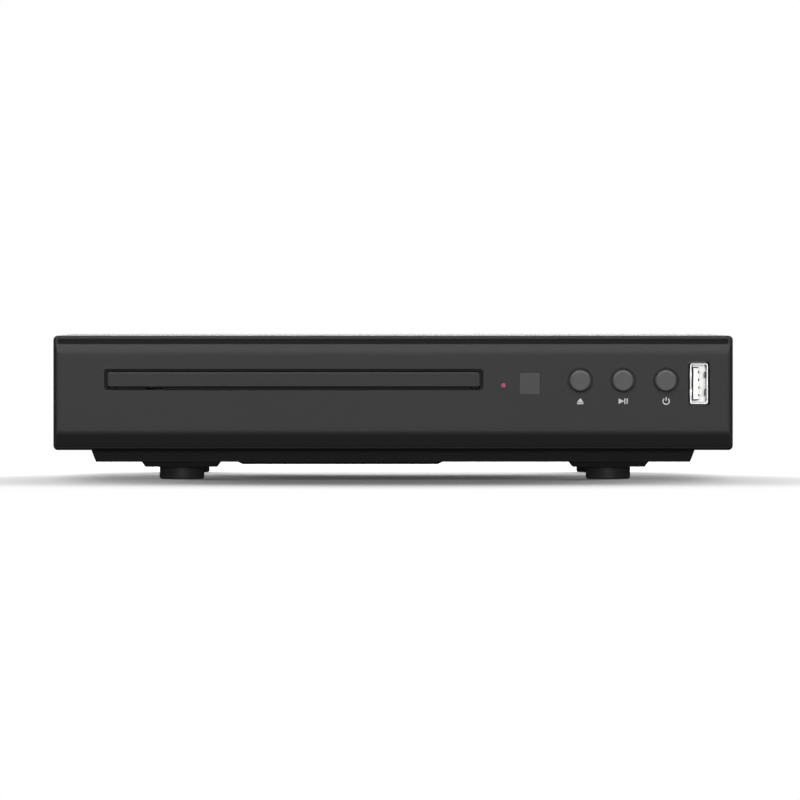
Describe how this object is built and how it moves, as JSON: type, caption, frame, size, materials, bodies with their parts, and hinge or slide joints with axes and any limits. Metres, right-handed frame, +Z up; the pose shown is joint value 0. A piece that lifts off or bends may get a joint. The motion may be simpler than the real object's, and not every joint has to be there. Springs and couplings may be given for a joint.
{
  "type": "dvd player with tray",
  "caption": "Flat tabletop disc player with a motor-driven tray, push buttons, an upright USB socket, and a loader, pickup and boards inside.",
  "frame": {"origin": "on the table under the middle of the player's bounding box, button caps and phono sockets included", "axes": "+X to the right seen from the front, +Y to the back, +Z up; the front panel faces -Y"},
  "size_m": [0.225, 0.207, 0.0478],
  "materials": {
    "cover_paint": "fine satin black paint",
    "front_plastic": "fine grained charcoal plastic",
    "shell_plastic": "grained black plastic",
    "rear_paint": "satin black paint",
    "screw_steel": "black zinc",
    "foot_rubber": "smooth black rubber",
    "tray_plastic": "fine grained black plastic",
    "button_plastic": "satin grey plastic",
    "ivory_plastic": "satin",
    "window_plastic": "smoked, polished",
    "lamp_plastic": "clear red",
    "board_green": "solder mask",
    "part_black": "moulded",
    "nickel": "bright nickel",
    "usb_plastic": "moulded white",
    "gold": "gold flash",
    "loader_plastic": "moulded, satin",
    "gear_plastic": "natural acetal",
    "belt_rubber": "smooth",
    "motor_steel": "zinc plated",
    "chassis_steel": "zinc plated",
    "rod_steel": "ground",
    "lens_clear": "coated",
    "traverse_black": "moulded",
    "sled_metal": "die cast",
    "coil_brown": "lacquered coil and ferrite"
  },
  "bodies": {
    "base": {"top_cover": "cover_paint", "bottom_shell": "shell_plastic", "front_panel": "front_plastic", "rear_panel": "rear_paint", "cover_screws": "screw_steel", "foot_front_left": "foot_rubber", "foot_front_right": "foot_rubber", "foot_rear_left": "foot_rubber", "foot_rear_right": "foot_rubber", "button_guide": "part_black", "ir_window": "window_plastic", "led_pipe": "lamp_plastic", "key_board": "board_green", "key_switches": "part_black", "led": "lamp_plastic", "ir_receiver": "part_black", "usb_shell": "nickel", "usb_tongue": "usb_plastic", "usb_contacts": "gold", "loader_frame": "loader_plastic", "loader_screws": "screw_steel", "clamp_bridge": "loader_plastic", "loading_motor": "motor_steel", "drive_belt": "belt_rubber", "tray_switch": "part_black", "main_board": "board_green", "board_screws": "screw_steel", "chips": "part_black", "capacitors": "part_black", "power_parts": "coil_brown", "hdmi_socket": "nickel", "jack_block": "part_black", "jack_barrels": "gold", "dc_inlet": "part_black"},
    "tray": {"disc_tray": "tray_plastic", "tray_front": "front_plastic"},
    "drive_gear": {"drive_gear": "gear_plastic"},
    "pulley_gear": {"pulley_gear": "gear_plastic"},
    "motor_pulley": {"motor_pulley": "gear_plastic"},
    "cam_slider": {"cam_slider": "gear_plastic"},
    "traverse": {"lift_frame": "traverse_black", "pickup_chassis": "chassis_steel", "dampers": "belt_rubber", "spindle_motor": "motor_steel", "guide_rods": "rod_steel", "sled_motor": "motor_steel"},
    "turntable": {"turntable": "traverse_black", "turntable_pad": "belt_rubber"},
    "sled": {"pickup_sled": "sled_metal"},
    "lens": {"objective_lens": "lens_clear"},
    "lead_screw": {"lead_screw": "rod_steel"},
    "clamper": {"clamper": "gear_plastic", "clamp_magnet": "motor_steel"},
    "eject_button": {"eject_button": "button_plastic", "eject_plunger": "ivory_plastic"},
    "play_button": {"play_button": "button_plastic", "play_plunger": "ivory_plastic"},
    "power_button": {"power_button": "button_plastic", "power_plunger": "ivory_plastic"}
  },
  "joints": [
    {"name": "tray_slide", "type": "slide", "parent": "base", "child": "tray", "axis": [0, -1, 0], "range_m": [0, 0.125]},
    {"name": "drive_gear_spin", "type": "hinge", "parent": "base", "child": "drive_gear", "pos_m": [-0.0709, -0.08275, 0.02637], "axis": [0, 0, 1], "range_deg": [-5, 1028.1]},
    {"name": "pulley_gear_spin", "type": "hinge", "parent": "base", "child": "pulley_gear", "pos_m": [-0.0527, -0.08275, 0.02637], "axis": [0, 0, 1], "range_deg": [-3074.4, 5]},
    {"name": "motor_pulley_spin", "type": "hinge", "parent": "base", "child": "motor_pulley", "pos_m": [-0.0267, -0.08275, 0.02998], "axis": [0, 0, 1], "range_deg": [-10398.8, 10]},
    {"name": "traverse_lift", "type": "hinge", "parent": "base", "child": "traverse", "pos_m": [-0.0329, 0.04925, 0.02003], "axis": [-1, 0, 0], "range_deg": [0, 4.5]},
    {"name": "cam_slide", "type": "slide", "parent": "base", "child": "cam_slider", "axis": [1, 0, 0], "range_m": [-0.0005, 0.0245]},
    {"name": "spindle_spin", "type": "hinge", "parent": "traverse", "child": "turntable", "pos_m": [-0.0329, -0.03564, 0.02799], "axis": [0, -0.0785, 0.9969], "continuous": true},
    {"name": "clamper_spin", "type": "hinge", "parent": "base", "child": "clamper", "pos_m": [-0.0329, -0.03475, 0.03803], "axis": [0, 0, 1], "continuous": true},
    {"name": "sled_slide", "type": "slide", "parent": "traverse", "child": "sled", "axis": [0, 0.9969, 0.0785], "range_m": [0, 0.035]},
    {"name": "lead_screw_spin", "type": "hinge", "parent": "traverse", "child": "lead_screw", "pos_m": [-0.0009, -0.02412, 0.02187], "axis": [0, 0.9969, 0.0785], "range_deg": [-5, 4205]},
    {"name": "lens_focus", "type": "slide", "parent": "sled", "child": "lens", "axis": [0, -0.0785, 0.9969], "range_m": [-0.0005, 0.0005], "stiffness_N_per_m": 40},
    {"name": "eject_press", "type": "slide", "parent": "base", "child": "eject_button", "axis": [0, 1, 0], "range_m": [0, 0.0006], "stiffness_N_per_m": 300, "springref_m": -0.001},
    {"name": "play_press", "type": "slide", "parent": "base", "child": "play_button", "axis": [0, 1, 0], "range_m": [0, 0.0006], "stiffness_N_per_m": 300, "springref_m": -0.001},
    {"name": "power_press", "type": "slide", "parent": "base", "child": "power_button", "axis": [0, 1, 0], "range_m": [0, 0.0006], "stiffness_N_per_m": 300, "springref_m": -0.001}
  ],
  "couplings": [
    {"joint": "drive_gear_spin", "follows": "tray_slide", "rad_per_m": 142.86},
    {"joint": "pulley_gear_spin", "follows": "tray_slide", "rad_per_m": -428.57},
    {"joint": "motor_pulley_spin", "follows": "tray_slide", "rad_per_m": -1450.5},
    {"joint": "cam_slide", "follows": "traverse_lift", "m_per_rad": 0.30558},
    {"joint": "clamper_spin", "follows": "spindle_spin", "ratio": 1},
    {"joint": "lead_screw_spin", "follows": "sled_slide", "rad_per_m": 2094.4}
  ]
}
